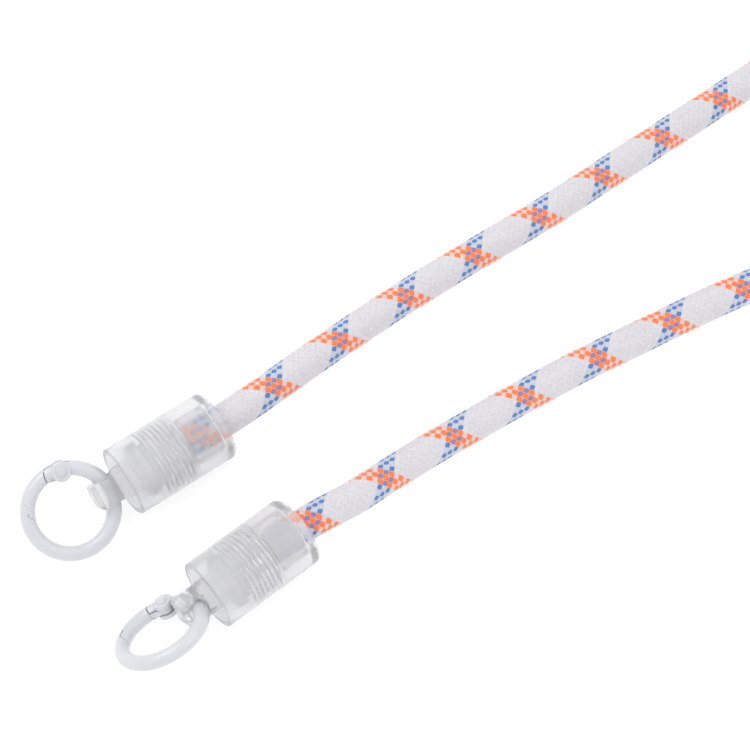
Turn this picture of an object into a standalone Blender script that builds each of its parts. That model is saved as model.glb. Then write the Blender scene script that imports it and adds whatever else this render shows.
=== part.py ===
"""Rope lanyard strap: a braided rope with a clear screw-capped barrel and a spring-gate ring at each end.

Lengths are named in millimetres and turned to metres by MM. Each end is built by the same functions
from an END record, so both are alike and only lie differently. The world frame has +X along barrel A
towards its rope, +Z up, and the origin on the floor under the middle of the two end fittings.
"""
import math

import bmesh
import bpy
import numpy as np
from mathutils import Matrix, Vector

MM = 0.001

# Barrel: x runs from the rim at the ring end (0) to the rope end
BARREL_R = 9.6
BARREL_LEN = 29.6
RIM_BORE_R = 7.9            # open recess at the ring end, and the seat of the plug's head
SEAT_X = 7.2                # step that the plug's head closes against
FERRULE_BORE_R = 6.9
END_WALL = 2.3
ROPE_HOLE_R = 5.0
ROPE_END_ROUND = 1.8        # rounded outer edge at the rope end
RIM_CHAMFER = 0.4

# Screw thread, drawn as rings: plug crests stand in the barrel's grooves
THREAD_PITCH = 1.3
THREAD_TURNS = 8
THREAD_X0 = 8.0
PLUG_ROOT_R = 6.05
THREAD_DEPTH = 0.5
THREAD_GAP = 0.4            # radial distance from plug to barrel

# Plug: head, threaded shank, neck, and the lug that the ring goes through
PLUG_HEAD_R = 7.55
PLUG_HEAD_X = 4.9
PLUG_TIP_X = 18.3
NECK_R = 4.6
NECK_END_X = -1.6
LUG_END_X = -8.6
LUG_WIDTH = 7.3
LUG_THICK = 7.4             # along the eye
LUG_ROUND = 2.2
EYE_X = -4.25
EYE_R = 2.8

# Rope and what holds its end
ROPE_R = 4.5
FERRULE_R = 6.5
FERRULE_X = (19.5, 27.0)
SEAL_X = (18.7, 19.2)
ROPE_START_X = 19.5         # the rope's cut end inside the barrel

# Spring-gate ring; the rivet is at angle 0 and the gate runs from it towards +90 degrees
RING_R = 11.1
WIRE_R = 2.0
RIVET_RING_R = 10.6         # rivet axis, a little inside the wire's centre line
BOSS_R = 2.65
BOSS_HALF = 2.2
SLOT_HALF = 1.0             # saw cut in the boss, which the gate's tongue turns in
SLOT_FLOOR = -2.55
CHEEK_END_R = 4.35          # cheeks end on this radius around the rivet
SHOULDER_R = 4.65           # the gate's full wire starts on this radius
TONGUE_HALF = 0.7
TONGUE_EYE_R = 2.2
RIVET_HOLE_R = 1.0
RIVET_R = 0.75
RIVET_HEAD_R = 1.45
RIVET_HEAD = (2.32, 2.75)   # height of a rivet head's two faces above the ring's mid plane
LATCH_OUTER_R = 12.4        # the gate's nose ends on these two radii around the rivet,
LATCH_INNER_R = 14.1        # with a step between them that stops it from swinging outwards
LATCH_GAP = 0.35
SPRING_AXIS_X = 9.6         # the spring pushes on the tongue's heel, inside the rivet's axis
SPRING_BORE_R = 0.85
SPRING_R = 0.52
SPRING_WIRE_R = 0.13
SPRING_Y = (-6.35, -2.15)
SPRING_TURNS = 5
BORE_END_Y = -6.6

# How each end lies. Roll is the eye's angle above level, swing the ring's angle from straight out,
# slew its play in the eye, rivet the angle from the eye round to the rivet, all in degrees.
FRAME_SHIFT = (-1.2855, 19.4792)
ENDS = {
    "a": {"rim": (0.0, 0.0), "yaw": 0.0, "roll": 34.4, "swing": 8.9, "slew": -2.0, "rivet": 77.0},
    "b": {"rim": (0.3, -39.0), "yaw": 4.1, "roll": -37.8, "swing": 2.0, "slew": 5.0, "rivet": 50.0},
}

# Rope leads, by hand, from each barrel to where the coil begins: x, y, z
LEAD_A = ((33, 0.05, 9.55), (40, 0.5, 9.1), (47, 1.3, 8.3), (58, 2.7, 6.9), (70, 3.9, 5.6), (82, 4.8, 4.8),
          (98, 5.3, 4.52), (120, 5.2, 4.5), (140, 4.9, 4.5), (164, 5.5, 4.5), (190, 6.2, 4.5),
          (207, 6.7, 4.5), (222, 7.2, 4.5), (235, 8.9, 4.6))
LEAD_B = ((33.2, -36.75, 9.5), (40, -36.95, 9.0), (47, -37.2, 8.2), (58, -36.5, 6.8), (70, -36.1, 5.5),
          (82, -36.2, 4.75), (98, -36.9, 4.52), (118, -38.3, 4.5), (140, -40.8, 4.5), (160, -43.3, 4.6),
          (180, -47.5, 6.2), (198, -53.5, 11.0), (215, -60.0, 17.3), (232, -66.0, 23.4), (248, -68.8, 27.2))
TUBE_STEP = 16.0            # distance between a rope tube's points

# Coil of the spare rope, its turns one on another, and the tie that holds them
COIL_CENTRE = (280.0, -24.0)
COIL_R = 45.0
COIL_Z = (1.6, 33.2)
TIE_HALF_WIDTH = 6.0
TIE_THICK = 0.8
TIE_GAP = 0.4
TIE_SAG = 0.9               # more room inside the coil, whose wall curves into the tie
TIE_ANGLE = 50.0

SEGMENTS = 24
WIRE_SEGMENTS = 10
RING_SEGMENTS = 48

MATERIALS = {
    "clear_plastic": ((0.80, 0.80, 0.84, 0.35), 0.05, 0.0),
    "white_enamel": ((0.72, 0.73, 0.76, 1.0), 0.18, 0.0),
    "rivet_metal": ((0.66, 0.67, 0.70, 1.0), 0.25, 1.0),
    "spring_steel": ((0.45, 0.45, 0.47, 1.0), 0.3, 1.0),
    "rope_fabric": ((0.73, 0.72, 0.76, 1.0), 0.85, 0.0),
    "tie_fabric": ((0.75, 0.75, 0.75, 1.0), 0.9, 0.0),
}


def material(name):
    """Return the named Principled material, made once."""
    found = bpy.data.materials.get(name)
    if found:
        return found
    colour, roughness, metallic = MATERIALS[name]
    made = bpy.data.materials.new(name)
    made.use_nodes = True
    shader = made.node_tree.nodes["Principled BSDF"]
    shader.inputs["Base Color"].default_value = colour
    shader.inputs["Roughness"].default_value = roughness
    shader.inputs["Metallic"].default_value = metallic
    return made


def add_mesh(name, vertices, faces, slot, parent=None, matrix=None, smooth=False):
    """Make a mesh object from millimetre coordinates, with outward faces."""
    mesh = bpy.data.meshes.new(name)
    mesh.from_pydata([tuple(c * MM for c in v) for v in vertices], [], faces)
    work = bmesh.new()
    work.from_mesh(mesh)
    bmesh.ops.recalc_face_normals(work, faces=work.faces)
    work.to_mesh(mesh)
    work.free()
    mesh.polygons.foreach_set("use_smooth", [smooth] * len(mesh.polygons))
    made = bpy.data.objects.new(name, mesh)
    bpy.context.collection.objects.link(made)
    if slot:
        mesh.materials.append(material(slot))
    if matrix is not None:
        made.matrix_local = matrix
    made.parent = parent
    return made


def add_empty(name, matrix, parent=None):
    """An empty that holds a frame: a fitting's, an eye's, a ring's or a rivet's."""
    made = bpy.data.objects.new(name, None)
    made.empty_display_size = 0.005
    bpy.context.collection.objects.link(made)
    made.matrix_local = matrix
    made.parent = parent
    return made


def frame(x_axis, y_axis, z_axis, origin):
    """A 4x4 matrix from three unit axes and an origin in millimetres."""
    rows = [[x_axis[i], y_axis[i], z_axis[i], origin[i] * MM] for i in range(3)]
    return Matrix(rows + [[0, 0, 0, 1]])


def turned(profile, segments, closed):
    """Vertices and faces of a profile of (x, radius) turned about X.

    A closed profile is a loop clear of the axis. An open one starts and ends on the axis.
    """
    rings, vertices, faces = [], [], []
    for x, radius in profile:
        if radius == 0:
            rings.append([len(vertices)] * segments)
            vertices.append((x, 0, 0))
            continue
        rings.append(list(range(len(vertices), len(vertices) + segments)))
        for i in range(segments):
            angle = 2 * math.pi * i / segments
            vertices.append((x, radius * math.cos(angle), radius * math.sin(angle)))
    pairs = list(zip(rings, rings[1:] + rings[:1])) if closed else list(zip(rings, rings[1:]))
    for first, second in pairs:
        for i in range(segments):
            j = (i + 1) % segments
            loop = [first[i], first[j], second[j], second[i]]
            faces.append([v for k, v in enumerate(loop) if v not in loop[:k]])
    return vertices, faces


def arc(centre, radius, start, end, steps):
    """Points on an arc, angles in degrees."""
    angles = np.radians(np.linspace(start, end, steps + 1))
    return [(centre[0] + radius * math.cos(t), centre[1] + radius * math.sin(t)) for t in angles]


def prism(outline, half_height):
    """Vertices and faces of an outline extruded both ways along Z."""
    count = len(outline)
    vertices = [(x, y, z) for z in (-half_height, half_height) for x, y in outline]
    faces = [list(range(count))[::-1], list(range(count, 2 * count))]
    faces += [[i, (i + 1) % count, count + (i + 1) % count, count + i] for i in range(count)]
    return vertices, faces


def turn_to_z(vertices):
    """Turn vertices made about X so that they stand about Z."""
    return [(z, y, x) for x, y, z in vertices]


def shifted(vertices, offset):
    return [tuple(c + o for c, o in zip(v, offset)) for v in vertices]


def cut(target, operation, tool):
    """Add an exact Boolean and hide its tool."""
    modifier = target.modifiers.new(operation.lower() + "_" + tool.name, "BOOLEAN")
    modifier.operation = operation
    modifier.solver = "EXACT"
    modifier.object = tool
    tool.hide_render = True
    tool.display_type = "WIRE"


def thread_wave(root, direction):
    """Triangle-wave thread profile of (x, radius), root to crest to root."""
    points = []
    for turn in range(THREAD_TURNS):
        x = THREAD_X0 + turn * THREAD_PITCH
        points.append((x, root))
        points.append((x + THREAD_PITCH / 2, root + THREAD_DEPTH))
    points.append((THREAD_X0 + THREAD_TURNS * THREAD_PITCH, root))
    return points if direction > 0 else points[::-1]


def barrel(end, base):
    """Clear shell: rim recess, head seat, thread, ferrule chamber and end wall, turned in one loop."""
    rounding = [(BARREL_LEN - ROPE_END_ROUND + x, BARREL_R - ROPE_END_ROUND + y)
                for x, y in arc((0, 0), ROPE_END_ROUND, 90, 0, 4)]
    outer = [(0, BARREL_R - RIM_CHAMFER), (RIM_CHAMFER, BARREL_R)] + rounding
    wall_x = BARREL_LEN - END_WALL
    inner = [(BARREL_LEN, ROPE_HOLE_R), (wall_x, ROPE_HOLE_R), (wall_x, FERRULE_BORE_R),
             (THREAD_X0 + THREAD_TURNS * THREAD_PITCH + 0.2, FERRULE_BORE_R)]
    grooves = thread_wave(PLUG_ROOT_R + THREAD_GAP, -1)
    seat = [(SEAT_X, PLUG_ROOT_R + THREAD_GAP), (SEAT_X, RIM_BORE_R), (0, RIM_BORE_R)]
    vertices, faces = turned(outer + inner + grooves + seat, SEGMENTS, True)
    return add_mesh("barrel_" + end, vertices, faces, "clear_plastic", base)


def plug(end, base, roll):
    """Clear screw plug: threaded shank, head, neck and cross-drilled lug."""
    shank = [(PLUG_TIP_X, 0), (PLUG_TIP_X, PLUG_ROOT_R - 0.3)]
    body = [(SEAT_X - 0.3, PLUG_ROOT_R), (SEAT_X - 0.3, PLUG_HEAD_R), (PLUG_HEAD_X, PLUG_HEAD_R),
            (PLUG_HEAD_X, NECK_R), (NECK_END_X, NECK_R), (NECK_END_X, 0)]
    vertices, faces = turned(shank + thread_wave(PLUG_ROOT_R, -1)[:-1] + body, SEGMENTS, False)
    made = add_mesh("plug_" + end, vertices, faces, "clear_plastic", base)
    half = LUG_WIDTH / 2
    back = NECK_END_X + 2.0
    corner = (LUG_END_X + LUG_ROUND, half - LUG_ROUND)
    outline = [(back, -half), (back, half)] + arc(corner, LUG_ROUND, 90, 180, 4)
    outline += arc((corner[0], -corner[1]), LUG_ROUND, 180, 270, 4)
    roll_matrix = Matrix.Rotation(math.radians(roll - 90), 4, "X")
    lug_vertices, lug_faces = prism(outline, LUG_THICK / 2)
    cut(made, "UNION", add_mesh("lug_tool_" + end, lug_vertices, lug_faces, None, base, roll_matrix))
    eye_vertices, eye_faces = turned([(-8, 0), (-8, EYE_R), (8, EYE_R), (8, 0)], SEGMENTS, False)
    eye = shifted(turn_to_z(eye_vertices), (EYE_X, 0, 0))
    cut(made, "DIFFERENCE", add_mesh("eye_tool_" + end, eye, eye_faces, None, base, roll_matrix))
    return made


def rope_end(end, base):
    """The clear ferrule bonded on the rope, and the fused seal on the rope's cut end."""
    start, stop = FERRULE_X
    bore = ROPE_R + 0.3
    loop = [(start, bore), (start, FERRULE_R), (stop, FERRULE_R), (stop, bore)]
    vertices, faces = turned(loop, SEGMENTS, True)
    add_mesh("rope_ferrule_" + end, vertices, faces, "clear_plastic", base)
    start, stop = SEAL_X
    disc = [(start, 0), (start, ROPE_R), (stop, ROPE_R), (stop, 0)]
    vertices, faces = turned(disc, SEGMENTS, False)
    add_mesh("rope_end_seal_" + end, vertices, faces, "rope_fabric", base)


def ring_torus():
    """Vertices and faces of the whole ring wire, before the gate is cut out of it."""
    vertices, faces = [], []
    for i in range(RING_SEGMENTS):
        around = 2 * math.pi * (i + 0.5) / RING_SEGMENTS
        for j in range(WIRE_SEGMENTS):
            across = 2 * math.pi * j / WIRE_SEGMENTS
            radius = RING_R + WIRE_R * math.cos(across)
            height = WIRE_R * math.sin(across)
            vertices.append((radius * math.cos(around), radius * math.sin(around), height))
            k, m = (i + 1) % RING_SEGMENTS, (j + 1) % WIRE_SEGMENTS
            corners = ((i, j), (k, j), (k, m), (i, m))
            faces.append([row * WIRE_SEGMENTS + column for row, column in corners])
    return vertices, faces


def meet(radius, around_rivet):
    """Where a circle about the ring's centre meets one about the rivet, on the gate's side."""
    x = (radius ** 2 - around_rivet ** 2 + RIVET_RING_R ** 2) / (2 * RIVET_RING_R)
    return x, math.sqrt(radius ** 2 - x ** 2)


def rivet_arc(around_rivet, from_radius, to_radius, steps):
    """Arc about the rivet from one ring radius to another, on the gate's side."""
    ends = [meet(radius, around_rivet) for radius in (from_radius, to_radius)]
    start, end = [math.degrees(math.atan2(y, x - RIVET_RING_R)) for x, y in ends]
    return arc((RIVET_RING_R, 0), around_rivet, start, end, steps)


def gate_outline(shoulder, latch_gap, step_radius):
    """Outline of the gate's space in the ring plane, from the shoulder arc to the stepped latch."""
    outside, inside = RING_R + 3.2, RING_R - 3.2
    outline = rivet_arc(shoulder, inside, outside, 6)
    outer_nose = rivet_arc(LATCH_OUTER_R + latch_gap, outside, step_radius, 3)
    inner_nose = rivet_arc(LATCH_INNER_R + latch_gap, step_radius, inside, 3)
    first = math.degrees(math.atan2(outline[-1][1], outline[-1][0]))
    last = math.degrees(math.atan2(outer_nose[0][1], outer_nose[0][0]))
    outline += arc((0, 0), outside, first, last, 8)[1:-1]
    outline += outer_nose + inner_nose
    first = math.degrees(math.atan2(inner_nose[-1][1], inner_nose[-1][0]))
    last = math.degrees(math.atan2(outline[0][1], outline[0][0]))
    return outline + arc((0, 0), inside, first, last, 8)[1:-1]


def add_tool(name, shape, parent, offset=(0, 0, 0)):
    vertices, faces = shape
    return add_mesh(name, shifted(vertices, offset), faces, None, parent)


def rivet_pin(radius, half_height):
    """A pin about Z through the rivet's place, as a tool or a solid."""
    ends = (-half_height, half_height)
    vertices, faces = turned([(ends[0], 0), (ends[0], radius), (ends[1], radius), (ends[1], 0)], 12, False)
    return turn_to_z(vertices), faces


def ring_body(end, ring_frame):
    """Ring wire with its forked boss, the gate's space, the saw cut, the rivet hole and the spring bore."""
    vertices, faces = ring_torus()
    made = add_mesh("ring_" + end, vertices, faces, "white_enamel", ring_frame)
    at_rivet = (RIVET_RING_R, 0, 0)
    disc = [(-BOSS_HALF, 0), (-BOSS_HALF, BOSS_R), (BOSS_HALF, BOSS_R), (BOSS_HALF, 0)]
    vertices, faces = turned(disc, 20, False)
    cut(made, "UNION", add_tool("boss_tool_" + end, (turn_to_z(vertices), faces), ring_frame, at_rivet))
    space = prism(gate_outline(CHEEK_END_R, LATCH_GAP, RING_R + 0.15), 4.0)
    cut(made, "DIFFERENCE", add_tool("gate_space_tool_" + end, space, ring_frame))
    saw = [(-4.0, SLOT_FLOOR), (4.0, SLOT_FLOOR), (4.0, 6.5), (-4.0, 6.5)]
    cut(made, "DIFFERENCE", add_tool("slot_tool_" + end, prism(saw, SLOT_HALF), ring_frame, at_rivet))
    hole = rivet_pin(RIVET_HOLE_R, 4.0)
    cut(made, "DIFFERENCE", add_tool("rivet_hole_tool_" + end, hole, ring_frame, at_rivet))
    drill = [(BORE_END_Y, 0), (BORE_END_Y, SPRING_BORE_R), (-1.0, SPRING_BORE_R), (-1.0, 0)]
    vertices, faces = turned(drill, 10, False)
    bore = [(SPRING_AXIS_X + y, x, z) for x, y, z in vertices]
    cut(made, "DIFFERENCE", add_mesh("spring_bore_tool_" + end, bore, faces, None, ring_frame))
    return made


def gate(end, ring_frame, rivet_frame):
    """The gate: its stretch of wire, and the tongue that turns on the rivet; its origin is on the rivet."""
    to_rivet = (-RIVET_RING_R, 0, 0)
    vertices, faces = ring_torus()
    made = add_mesh("gate_" + end, shifted(vertices, to_rivet), faces, "white_enamel", rivet_frame)
    wire = prism(gate_outline(SHOULDER_R, 0.0, RING_R - 0.15), 4.0)
    cut(made, "INTERSECT", add_tool("gate_wire_tool_" + end, wire, rivet_frame, to_rivet))
    reach = math.radians(28)
    tip = [(r * math.cos(reach) - RIVET_RING_R, r * math.sin(reach)) for r in (RING_R + 1.5, RING_R - 1.5)]
    outline = [tip[0], tip[1]] + arc((0, 0), TONGUE_EYE_R, 160, 370, 12)
    cut(made, "UNION", add_tool("tongue_tool_" + end, prism(outline, TONGUE_HALF), rivet_frame))
    cut(made, "DIFFERENCE", add_tool("gate_hole_tool_" + end, rivet_pin(RIVET_HOLE_R, 3.0), rivet_frame))
    return made


def rivet(end, rivet_frame):
    """Rivet with a head on each cheek."""
    low, high = RIVET_HEAD
    profile = [(-high, 0), (-high, RIVET_HEAD_R - 0.25), (-low - 0.15, RIVET_HEAD_R), (-low, RIVET_HEAD_R),
               (-low, RIVET_R), (low, RIVET_R), (low, RIVET_HEAD_R), (low + 0.15, RIVET_HEAD_R),
               (high, RIVET_HEAD_R - 0.25), (high, 0)]
    vertices, faces = turned(profile, 16, False)
    return add_mesh("gate_rivet_" + end, turn_to_z(vertices), faces, "rivet_metal", rivet_frame)


def spring(end, ring_frame):
    """Compression spring in its bore, pushing on the tongue's heel."""
    steps = 8 * SPRING_TURNS
    start, stop = SPRING_Y
    points = []
    for i in range(steps + 1):
        angle = 2 * math.pi * i / 8
        y = start + SPRING_WIRE_R + (stop - start - 2 * SPRING_WIRE_R) * i / steps
        points.append((SPRING_AXIS_X + SPRING_R * math.cos(angle), y, SPRING_R * math.sin(angle)))
    return add_tube("gate_spring_" + end, points, SPRING_WIRE_R, 0, "spring_steel", ring_frame)


def add_tube(name, points, radius, resolution, slot, parent=None):
    """A round tube with filled ends along millimetre points."""
    curve = bpy.data.curves.new(name, "CURVE")
    curve.dimensions = "3D"
    curve.bevel_depth = radius * MM
    curve.bevel_resolution = resolution
    curve.use_fill_caps = True
    spline = curve.splines.new("POLY")
    spline.points.add(len(points) - 1)
    for point, place in zip(spline.points, points):
        point.co = (place[0] * MM, place[1] * MM, place[2] * MM, 1.0)
    curve.materials.append(material(slot))
    made = bpy.data.objects.new(name, curve)
    bpy.context.collection.objects.link(made)
    made.parent = parent
    return made


def smooth_points(route, step):
    """Even points on a Catmull-Rom curve through a route."""
    route = np.array(route, float)
    padded = np.vstack([2 * route[0] - route[1], route, 2 * route[-1] - route[-2]])
    t = np.linspace(0, 1, 24, endpoint=False)[:, None]
    pieces = []
    for p0, p1, p2, p3 in zip(padded, padded[1:], padded[2:], padded[3:]):
        pieces.append(0.5 * (2 * p1 + (p2 - p0) * t + (2 * p0 - 5 * p1 + 4 * p2 - p3) * t ** 2
                             + (3 * p1 - p0 - 3 * p2 + p3) * t ** 3))
    fine = np.vstack(pieces + [route[-1:]])
    length = np.concatenate([[0], np.cumsum(np.linalg.norm(np.diff(fine, axis=0), axis=1))])
    even = np.linspace(0, length[-1], max(3, round(length[-1] / step)) + 1)
    return np.column_stack([np.interp(even, length, fine[:, k]) for k in range(3)])


def rope_lead(end, base, route):
    """Rope tube from its cut end in the barrel to just before the coil."""
    inside = [base.matrix_world @ (Vector((x, 0, 0)) * MM) / MM for x in (ROPE_START_X, BARREL_LEN)]
    shift = Vector((*FRAME_SHIFT, 0))
    points = [tuple(p) for p in inside] + [tuple(Vector(p) + shift) for p in route]
    return add_tube("rope_lead_" + end, smooth_points(points, TUBE_STEP), ROPE_R, 2, "rope_fabric")


def coil():
    """The put-away rope's outer shape, a turned ring, and the tie around one place of it."""
    centre = Vector((COIL_CENTRE[0] + FRAME_SHIFT[0], COIL_CENTRE[1] + FRAME_SHIFT[1], 0)) * MM
    low, high = COIL_Z
    inner, outer = COIL_R - ROPE_R, COIL_R + ROPE_R
    loop = [(low + 3, inner), (low, inner + 3), (low, outer - 3), (low + 3, outer),
            (high - 3, outer), (high, outer - 3), (high, inner + 3), (high - 3, inner)]
    vertices, faces = turned(loop, 32, True)
    place = Matrix.Translation(centre)
    add_mesh("rope_coil", turn_to_z(vertices), faces, "rope_fabric", None, place)
    inner, outer = inner - TIE_SAG - TIE_GAP, outer + TIE_GAP
    low, high = low - TIE_GAP, high + TIE_GAP
    grow = TIE_THICK
    inside = [(inner, low), (outer, low), (outer, high), (inner, high)]
    outside = [(inner - grow, low - grow), (outer + grow, low - grow),
               (outer + grow, high + grow), (inner - grow, high + grow)]
    half = TIE_HALF_WIDTH
    vertices = [(x, y, z) for y, loop in ((-half, inside), (-half, outside), (half, outside), (half, inside))
                for x, z in loop]
    faces = [[4 * k + i, 4 * k + (i + 1) % 4, 4 * ((k + 1) % 4) + (i + 1) % 4, 4 * ((k + 1) % 4) + i]
             for k in range(4) for i in range(4)]
    turn = place @ Matrix.Rotation(math.radians(TIE_ANGLE), 4, "Z")
    add_mesh("coil_tie", vertices, faces, "tie_fabric", None, turn)


def ring_axes(values):
    """Eye axis, and the ring's own axes, in the fitting's frame."""
    roll, swing, slew = [math.radians(values[k]) for k in ("roll", "swing", "slew")]
    along = Vector((1, 0, 0))
    eye_axis = Vector((0, math.cos(roll), math.sin(roll)))
    outward = along * math.cos(swing) + along.cross(eye_axis) * math.sin(swing)
    normal = outward.cross(eye_axis)
    to_eye = outward * math.cos(slew) + eye_axis * math.sin(slew)
    return eye_axis, to_eye, normal.cross(to_eye), normal


def end_fitting(end, values, route):
    """Build one end of the strap under its own empties."""
    rim = (values["rim"][0] + FRAME_SHIFT[0], values["rim"][1] + FRAME_SHIFT[1], BARREL_R)
    place = Matrix.Translation(Vector(rim) * MM) @ Matrix.Rotation(math.radians(values["yaw"]), 4, "Z")
    base = add_empty("fitting_" + end, place)
    bpy.context.view_layer.update()
    barrel(end, base)
    plug(end, base, values["roll"])
    rope_end(end, base)
    rope_lead(end, base, route)
    eye_axis, to_eye, side, normal = ring_axes(values)
    eye = add_empty("eye_" + end, Matrix.Translation(Vector((EYE_X, 0, 0)) * MM), base)
    slack = (RING_R - math.sqrt(RING_R ** 2 - (LUG_THICK / 2) ** 2)) / 2
    centre = to_eye * (slack - RING_R)
    turn = Matrix.Rotation(math.radians(values["rivet"]), 4, "Z")
    ring_frame = add_empty("ring_frame_" + end, frame(to_eye, side, normal, centre) @ turn, eye)
    to_rivet = Matrix.Translation(Vector((RIVET_RING_R, 0, 0)) * MM)
    rivet_frame = add_empty("rivet_frame_" + end, to_rivet, ring_frame)
    ring_body(end, ring_frame)
    gate(end, ring_frame, rivet_frame)
    rivet(end, rivet_frame)
    spring(end, ring_frame)


def main():
    for old in list(bpy.data.objects):
        bpy.data.objects.remove(old, do_unlink=True)
    end_fitting("a", ENDS["a"], LEAD_A)
    end_fitting("b", ENDS["b"], LEAD_B)
    coil()


main()
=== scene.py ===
import math
from functools import partial

import bpy
import numpy as np
from bpy.props import FloatProperty, FloatVectorProperty, PointerProperty
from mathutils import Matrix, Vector


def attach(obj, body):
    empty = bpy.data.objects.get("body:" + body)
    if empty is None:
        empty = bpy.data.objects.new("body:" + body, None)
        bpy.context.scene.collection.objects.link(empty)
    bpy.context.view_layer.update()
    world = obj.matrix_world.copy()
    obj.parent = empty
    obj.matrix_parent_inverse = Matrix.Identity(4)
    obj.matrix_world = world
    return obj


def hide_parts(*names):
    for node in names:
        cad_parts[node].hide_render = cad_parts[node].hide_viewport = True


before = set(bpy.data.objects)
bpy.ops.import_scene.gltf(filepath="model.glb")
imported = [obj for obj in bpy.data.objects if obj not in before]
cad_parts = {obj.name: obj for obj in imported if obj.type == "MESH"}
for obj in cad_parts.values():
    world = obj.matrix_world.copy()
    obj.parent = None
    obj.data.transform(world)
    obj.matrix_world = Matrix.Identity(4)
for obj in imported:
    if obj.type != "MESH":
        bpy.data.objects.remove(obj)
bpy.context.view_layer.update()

bl_info = {
    "name": "Rope Strap Maker",
    "version": (1, 0, 0),
    "blender": (4, 5, 0),
    "location": "View3D > Sidebar > Strap",
    "description": "Makes a braided rope strap with clear screw barrels and spring-gate rings",
    "category": "Add Mesh",
}

MM = 0.001


def linear(code):
    """Linear RGB of an sRGB hex colour: c/12.92 below 0.04045, else ((c+0.055)/1.055)^2.4."""
    values = np.array([int(code[i:i + 2], 16) / 255 for i in (1, 3, 5)])
    bright = ((values + 0.055) / 1.055) ** 2.4
    return tuple(float(v) for v in np.where(values <= 0.04045, values / 12.92, bright))


# How each end fitting lies (millimetres, degrees), the same figures as the CAD's
SHIFT = np.array([-1.2855, 19.4792, 0.0])
ENDS = {
    "a": {"rim": (0.0, 0.0), "yaw": 0.0, "roll": 34.4, "swing": 8.9, "slew": -2.0, "rivet": 77.0},
    "b": {"rim": (0.3, -39.0), "yaw": 4.1, "roll": -37.8, "swing": 2.0, "slew": 5.0, "rivet": 50.0},
}
LEAD_A = ((33, 0.05, 9.55), (40, 0.5, 9.1), (47, 1.3, 8.3), (58, 2.7, 6.9), (70, 3.9, 5.6), (82, 4.8, 4.8),
          (98, 5.3, 4.52), (120, 5.2, 4.5), (140, 4.9, 4.5), (164, 5.5, 4.5), (190, 6.2, 4.5),
          (207, 6.7, 4.5), (222, 7.2, 4.5), (235, 8.9, 4.6))
REACH_A = ((249, 13.2, 4.8), (264, 18.8, 5.5))    # on from lead A to the coil's first turn
BONDED = 10.5    # length of rope inside a barrel
LEAD_B = ((33.2, -36.75, 9.5), (40, -36.95, 9.0), (47, -37.2, 8.2), (58, -36.5, 6.8), (70, -36.1, 5.5),
          (82, -36.2, 4.75), (98, -36.9, 4.52), (118, -38.3, 4.5), (140, -40.8, 4.5), (160, -43.3, 4.6),
          (180, -47.5, 6.2), (198, -53.5, 11.0), (215, -60.0, 17.3), (232, -66.0, 23.4), (248, -68.8, 27.2))
COIL_CENTRE = (280.0, -24.0)
TIE_ANGLE = 50.0
COIL_R = 45.0
COIL_TURNS = 2.5
COIL_START_Z = 6.2
COIL_PITCH = 9.1
ROPE_START_X = 19.5

BARREL_R, BARREL_LEN, RIM_BORE_R, SEAT_X = 9.6, 29.6, 7.9, 7.2
FERRULE_BORE_R, END_WALL, ROPE_HOLE_R, ROPE_END_ROUND = 6.9, 2.3, 5.0, 1.8
THREAD_PITCH, THREAD_TURNS, THREAD_X0, THREAD_DEPTH, THREAD_GAP = 1.3, 8, 8.0, 0.5, 0.4
PLUG_ROOT_R, PLUG_HEAD_R, PLUG_HEAD_X, PLUG_TIP_X = 6.05, 7.55, 4.9, 18.3
NECK_R, NECK_END_X, LUG_END_X, LUG_WIDTH, LUG_THICK, EYE_X, EYE_R = 4.6, -1.6, -8.6, 7.3, 7.4, -4.25, 2.8
RING_R, RIVET_RING_R, BOSS_R, BOSS_HALF = 11.1, 10.6, 2.65, 2.2
SLOT_HALF, SLOT_FLOOR, CHEEK_END_R, SHOULDER_R = 1.0, -2.55, 4.35, 4.65
TONGUE_HALF, TONGUE_EYE_R, RIVET_HOLE_R, RIVET_R, RIVET_HEAD_R = 0.7, 2.2, 1.0, 0.75, 1.45
LATCH_OUTER_R, LATCH_INNER_R, LATCH_GAP = 12.4, 14.1, 0.1
SPRING_AXIS_X, SPRING_BORE_R, SPRING_R, SPRING_WIRE_R = 9.6, 0.85, 0.52, 0.13
SPRING_Y, SPRING_TURNS = (-6.35, -2.15), 5

STRANDS = 12    # carriers of each hand in the braid
# Where the braid's tracers cross on the side that faces up, along each lead from the rope's cut ends
CROSS_A, PITCH_A, SHORTEN_A = 26.8, 23.4, 0.000462
CROSS_B, PITCH_B = 13.1, 22.55

# Camera and its aim, millimetres
CAMERA_AT = np.array([-142.3, -316.5, 709.4]) + SHIFT
CAMERA_AIM = np.array([74.0, -7.5, 0.0]) + SHIFT
CAMERA_LENS = 145.4


# ---------------------------------------------------------------- properties

class StrapSizes(bpy.types.PropertyGroup):
    """Sizes of the strap that a maker would change."""
    rope_diameter: FloatProperty(name="Rope diameter", description="Outside diameter of the braided rope",
                                 default=0.009, min=0.006, max=0.012, unit="LENGTH")
    strand_height: FloatProperty(name="Strand height", description="How far a strand stands above the gaps",
                                 default=0.0002, min=0, max=0.001, unit="LENGTH")
    wire_diameter: FloatProperty(name="Ring wire", description="Diameter of the ring's wire",
                                 default=0.004, min=0.003, max=0.005, unit="LENGTH")
    tie_width: FloatProperty(name="Tie width", description="Width of the tape that holds the coil",
                             default=0.012, min=0.006, max=0.02, unit="LENGTH")


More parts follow.
